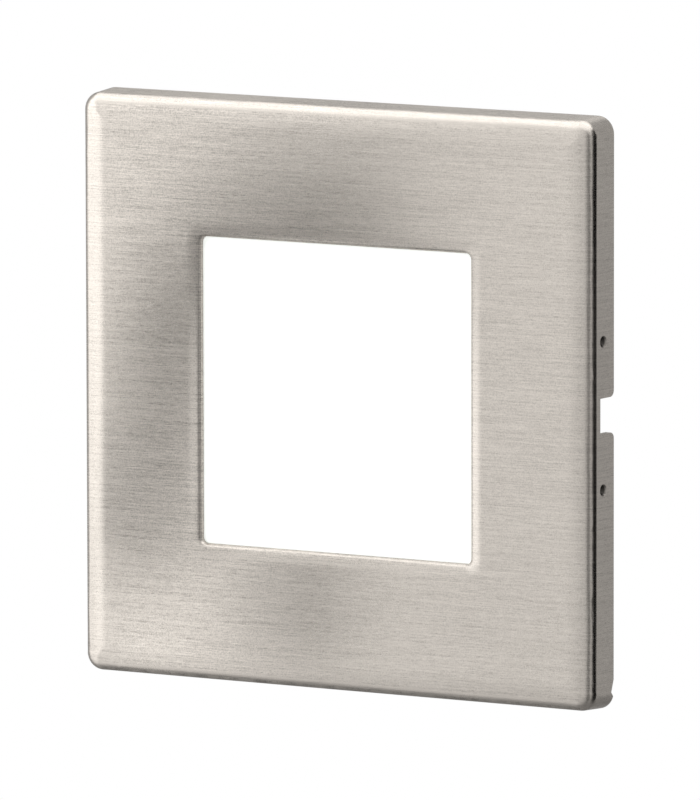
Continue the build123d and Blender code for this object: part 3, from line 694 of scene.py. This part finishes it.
def contact_blade(node, name, button):
    """A bent blade, cut across its free leg as far down as the button that presses on it."""
    piece = merged_copy(node, name)
    low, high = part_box(node)
    bend_end = Vector((low[0], low[1], high[2] - blade_bend_depth))
    pressed = Vector((low[0], low[1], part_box(button)[0][2]))
    bpy.ops.object.mode_set(mode="EDIT")
    for cut in range(blade_cuts + 1):
        bpy.ops.mesh.select_all(action="SELECT")
        bpy.ops.mesh.bisect(plane_co=bend_end.lerp(pressed, cut / blade_cuts), plane_no=(0, 0, 1))
    bpy.ops.object.mode_set(mode="OBJECT")
    bpy.ops.object.shade_smooth_by_angle(angle=smooth_angle)
    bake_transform(piece)
    takes_place(node)


pressed_cover("front_cover", "steel_cover", width=0.0001)
eased("carrier_frame", "moulded_frame", width=0.00015)
eased("housing", "moulded_housing", width=0.0003)
eased("terminal_block", "moulded_terminal", width=0.00015)
for pole in ("live", "neutral"):
    eased(f"{pole}_button", f"{pole}_release_button", width=0.00012)
    contact_blade(f"{pole}_spring", f"{pole}_contact_blade", f"{pole}_button")
foam = eased("wall_gasket", "foam_wall_seal", width=0.0003, segments=3)
for side, sign in (("upper", 1), ("lower", -1)):
    eased(f"{side}_clip", f"{side}_clip_strap", width=0.0001)
    rubber_sleeve(f"{side}_clip_pad", f"{side}_clip_sleeve", grid=0.00014)
    clip_spring(f"{side}_clip_spring", f"{side}_torsion_spring", f"{side}_clip_hinge", sign)


# Studio: camera, background, lamps, mirrored wall and flags, floor

camera_place = Vector((0.8411, -1.4517, 0.2177))
camera_target = Vector((-0.000826, -0.000341, -0.000717))
camera_roll = math.radians(-0.11)
ahead = (camera_target - camera_place).normalized()
turn = ahead.to_track_quat("-Z", "Y") @ Quaternion((0, 0, 1), camera_roll)
camera = add_object("camera", bpy.data.cameras.new("camera"))
camera.matrix_world = Matrix.Translation(camera_place) @ turn.to_matrix().to_4x4()
camera.data.sensor_width = 36.0
camera.data.lens = 562.49
camera.data.clip_start = 0.05
camera.data.clip_end = 20.0
scene.camera = camera


def white_studio(lighting):
    """White wherever it is seen, mirrored or seen through, and of strength lighting where it only gives light."""
    world = bpy.data.worlds.new("white_studio")
    scene.world = world
    world.use_nodes = True
    tree = world.node_tree
    tree.nodes.clear()
    rays = add_node(tree, "ShaderNodeLightPath", -600, 0)
    seen = math_node(tree, "MAXIMUM", -380, 60, rays.outputs["Is Camera Ray"], rays.outputs["Is Glossy Ray"])
    seen = math_node(tree, "MAXIMUM", -200, 60, seen, rays.outputs["Is Transmission Ray"])
    backdrop = add_node(tree, "ShaderNodeBackground", 180, 0)
    set_inputs(backdrop, Color=(1.0, 1.0, 1.0, 1.0))
    link(tree, map_range(tree, -20, 60, seen, low=lighting, high=1.0), backdrop.inputs["Strength"])
    link(tree, backdrop.outputs[0], add_node(tree, "ShaderNodeOutputWorld", 380, 0).inputs["Surface"])


white_studio(lighting=0.45)
scene.view_settings.view_transform = "Standard"


def aim(obj, place, target=(0, 0, 0)):
    obj.location = place
    way = Vector(target) - Vector(place)
    obj.rotation_euler = way.to_track_quat("-Z", "Y").to_euler()


def softbox(name, place, size, power):
    """A square lamp aimed at the light, not seen or mirrored itself."""
    data = bpy.data.lights.new(name, "AREA")
    data.shape = "RECTANGLE"
    data.size = size
    data.size_y = size
    data.energy = power
    lamp = add_object(name, data)
    lamp.visible_camera = False
    lamp.visible_glossy = False
    aim(lamp, place)


softbox("overhead_softbox", (-0.35, -0.25, 0.85), size=1.2, power=8.0)
softbox("left_softbox", (-0.95, 0.25, 0.10), size=1.2, power=8.0)
softbox("right_softbox", (0.75, 0.65, 0.30), size=1.0, power=5.0)


# The round wall that the metal mirrors: (azimuth in degrees, grey), with 0 before the cover and 90 on its right,
# and (share of the wall's height, strength)
round_sides = 96
wall_greys = [
    (-90, 0.50), (-80, 0.80), (-66, 1.60), (-58, 1.80), (-39, 1.80), (-35, 0.98), (-30, 0.92), (-18, 0.88),
    (-8, 0.74), (14, 0.56), (38, 0.22), (50, 0.28), (60, 0.56), (72, 0.50), (84, 0.10), (96, 0.0),
    (127, 0.0), (134, 0.42), (140, 0.52), (145, 0.40), (165, 0.38), (190, 0.48), (232, 0.48), (270, 0.50),
]
wall_strengths = [(0.0, 0.40), (0.28, 0.72), (0.44, 1.0), (0.60, 1.03), (1.0, 1.25)]


def reflected_only(obj):
    """A stage card that the metal mirrors and nothing else sees."""
    obj.visible_camera = False
    obj.visible_diffuse = False
    obj.visible_transmission = False
    obj.visible_shadow = False


def studio_wall(radius, height):
    """The wall's bright panels are on the left, its dark parts round the camera and on the right."""
    bpy.ops.mesh.primitive_cylinder_add(
        vertices=round_sides, radius=radius, depth=height, end_fill_type="NOTHING",
    )
    wall = bpy.context.object
    wall.name = "studio_wall"
    material, tree, surface, vector = bare_material("studio_wall")
    round_about = add_node(tree, "ShaderNodeTexGradient", -700, 120, gradient_type="RADIAL")
    link(tree, vector, round_about.inputs["Vector"])
    turns = [((azimuth + 90) / 360, level) for azimuth, level in wall_greys]
    tone = ramp(tree, -480, 120, round_about.outputs["Fac"], greys(turns))
    _, _, z = separate(tree, -700, -160, vector)
    from_middle = math_node(tree, "DIVIDE", -520, -160, z, height)
    rise = math_node(tree, "ADD", -360, -160, from_middle, 0.5)
    strength = ramp(tree, -200, -160, rise, greys(wall_strengths))
    glow = add_node(tree, "ShaderNodeEmission", 100, 0)
    link(tree, tone, glow.inputs["Color"])
    link(tree, strength, glow.inputs["Strength"])
    link(tree, glow.outputs[0], surface)
    wall.data.materials.append(material)
    reflected_only(wall)


def fading_material(name, kind, colour, fade_start, fade_end):
    """One colour, of a shader kind, that fades out to nothing between two distances from the middle."""
    material, tree, surface, vector = bare_material(name)
    far = vector_math(tree, "LENGTH", -720, 0, vector)
    fade = map_range(tree, -540, 0, far, low=1.0, high=0.0, start=fade_start, end=fade_end, curve="SMOOTHSTEP")
    paint = add_node(tree, kind, -340, -120)
    set_inputs(paint, Color=(*colour, 1.0))
    clear = add_node(tree, "ShaderNodeBsdfTransparent", -340, 120)
    blend = add_node(tree, "ShaderNodeMixShader", -120, 0)
    feed(tree, blend, (fade, clear.outputs[0], paint.outputs[0]))
    link(tree, blend.outputs[0], surface)
    return material


card_rim = 0.5


def flag(name, place, size_x, size_y, level, soft, target=(0, 0, 0)):
    """A card of one grey that fades out towards its rim, over soft of its size."""
    bpy.ops.mesh.primitive_plane_add(size=2 * card_rim)
    card = bpy.context.object
    card.name = name
    card.scale = (size_x, size_y, 1.0)
    aim(card, place, target)
    material = fading_material(name, "ShaderNodeEmission", grey(level), card_rim - soft, card_rim)
    card.data.materials.append(material)
    reflected_only(card)


studio_wall(radius=0.8, height=1.6)
flag("overhead_panel", (0.0, 0.0, 0.80), 2.4, 2.4, level=1.75, soft=0.20)
flag("under_flag", (0.0, 0.0, -0.80), 2.4, 2.4, level=0.24, soft=0.20)
flag("rear_flag", (-0.30, 0.41, 0.33), 0.48, 0.48, level=0.36, soft=0.14)
flag("low_left_flag", (-0.274, -0.191, -0.088), 0.20, 0.09, level=0.25, soft=0.5, target=(-0.038, -0.006, -0.088))

# Small flags close to the cover: (x, z) of the face point that mirrors each one, width, height, level
face_flags = [
    ((-0.004, 0.0215), 0.060, 0.036, 0.0),
    ((-0.027, 0.007), 0.028, 0.038, 0.24),
    ((-0.031, -0.015), 0.034, 0.030, 0.12),
    ((-0.006, -0.027), 0.032, 0.020, 0.0),
    ((-0.024, -0.0355), 0.054, 0.024, 1.42),
]
flag_distance = 0.040
mirrored = (ahead - 2.0 * ahead.y * Vector((0, 1, 0))).normalized()
face_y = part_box("front_cover")[0][1]
for index, ((x, z), width, height, level) in enumerate(face_flags):
    spot = Vector((x, face_y, z))
    flag(f"face_flag_{index}", spot + flag_distance * mirrored, width, height, level, card_rim, spot)


def pale_floor(height, fade_start, radius):
    """A round floor under the light that fades out towards its rim."""
    bpy.ops.mesh.primitive_circle_add(
        vertices=round_sides, radius=radius, fill_type="NGON", location=(0.0, 0.0, height),
    )
    floor = bpy.context.object
    floor.name = "floor"
    pale = fading_material("pale_floor", "ShaderNodeBsdfDiffuse", (0.88, 0.88, 0.87), fade_start, radius)
    floor.data.materials.append(pale)
    floor.visible_glossy = False


pale_floor(height=-0.12, fade_start=0.16, radius=0.30)
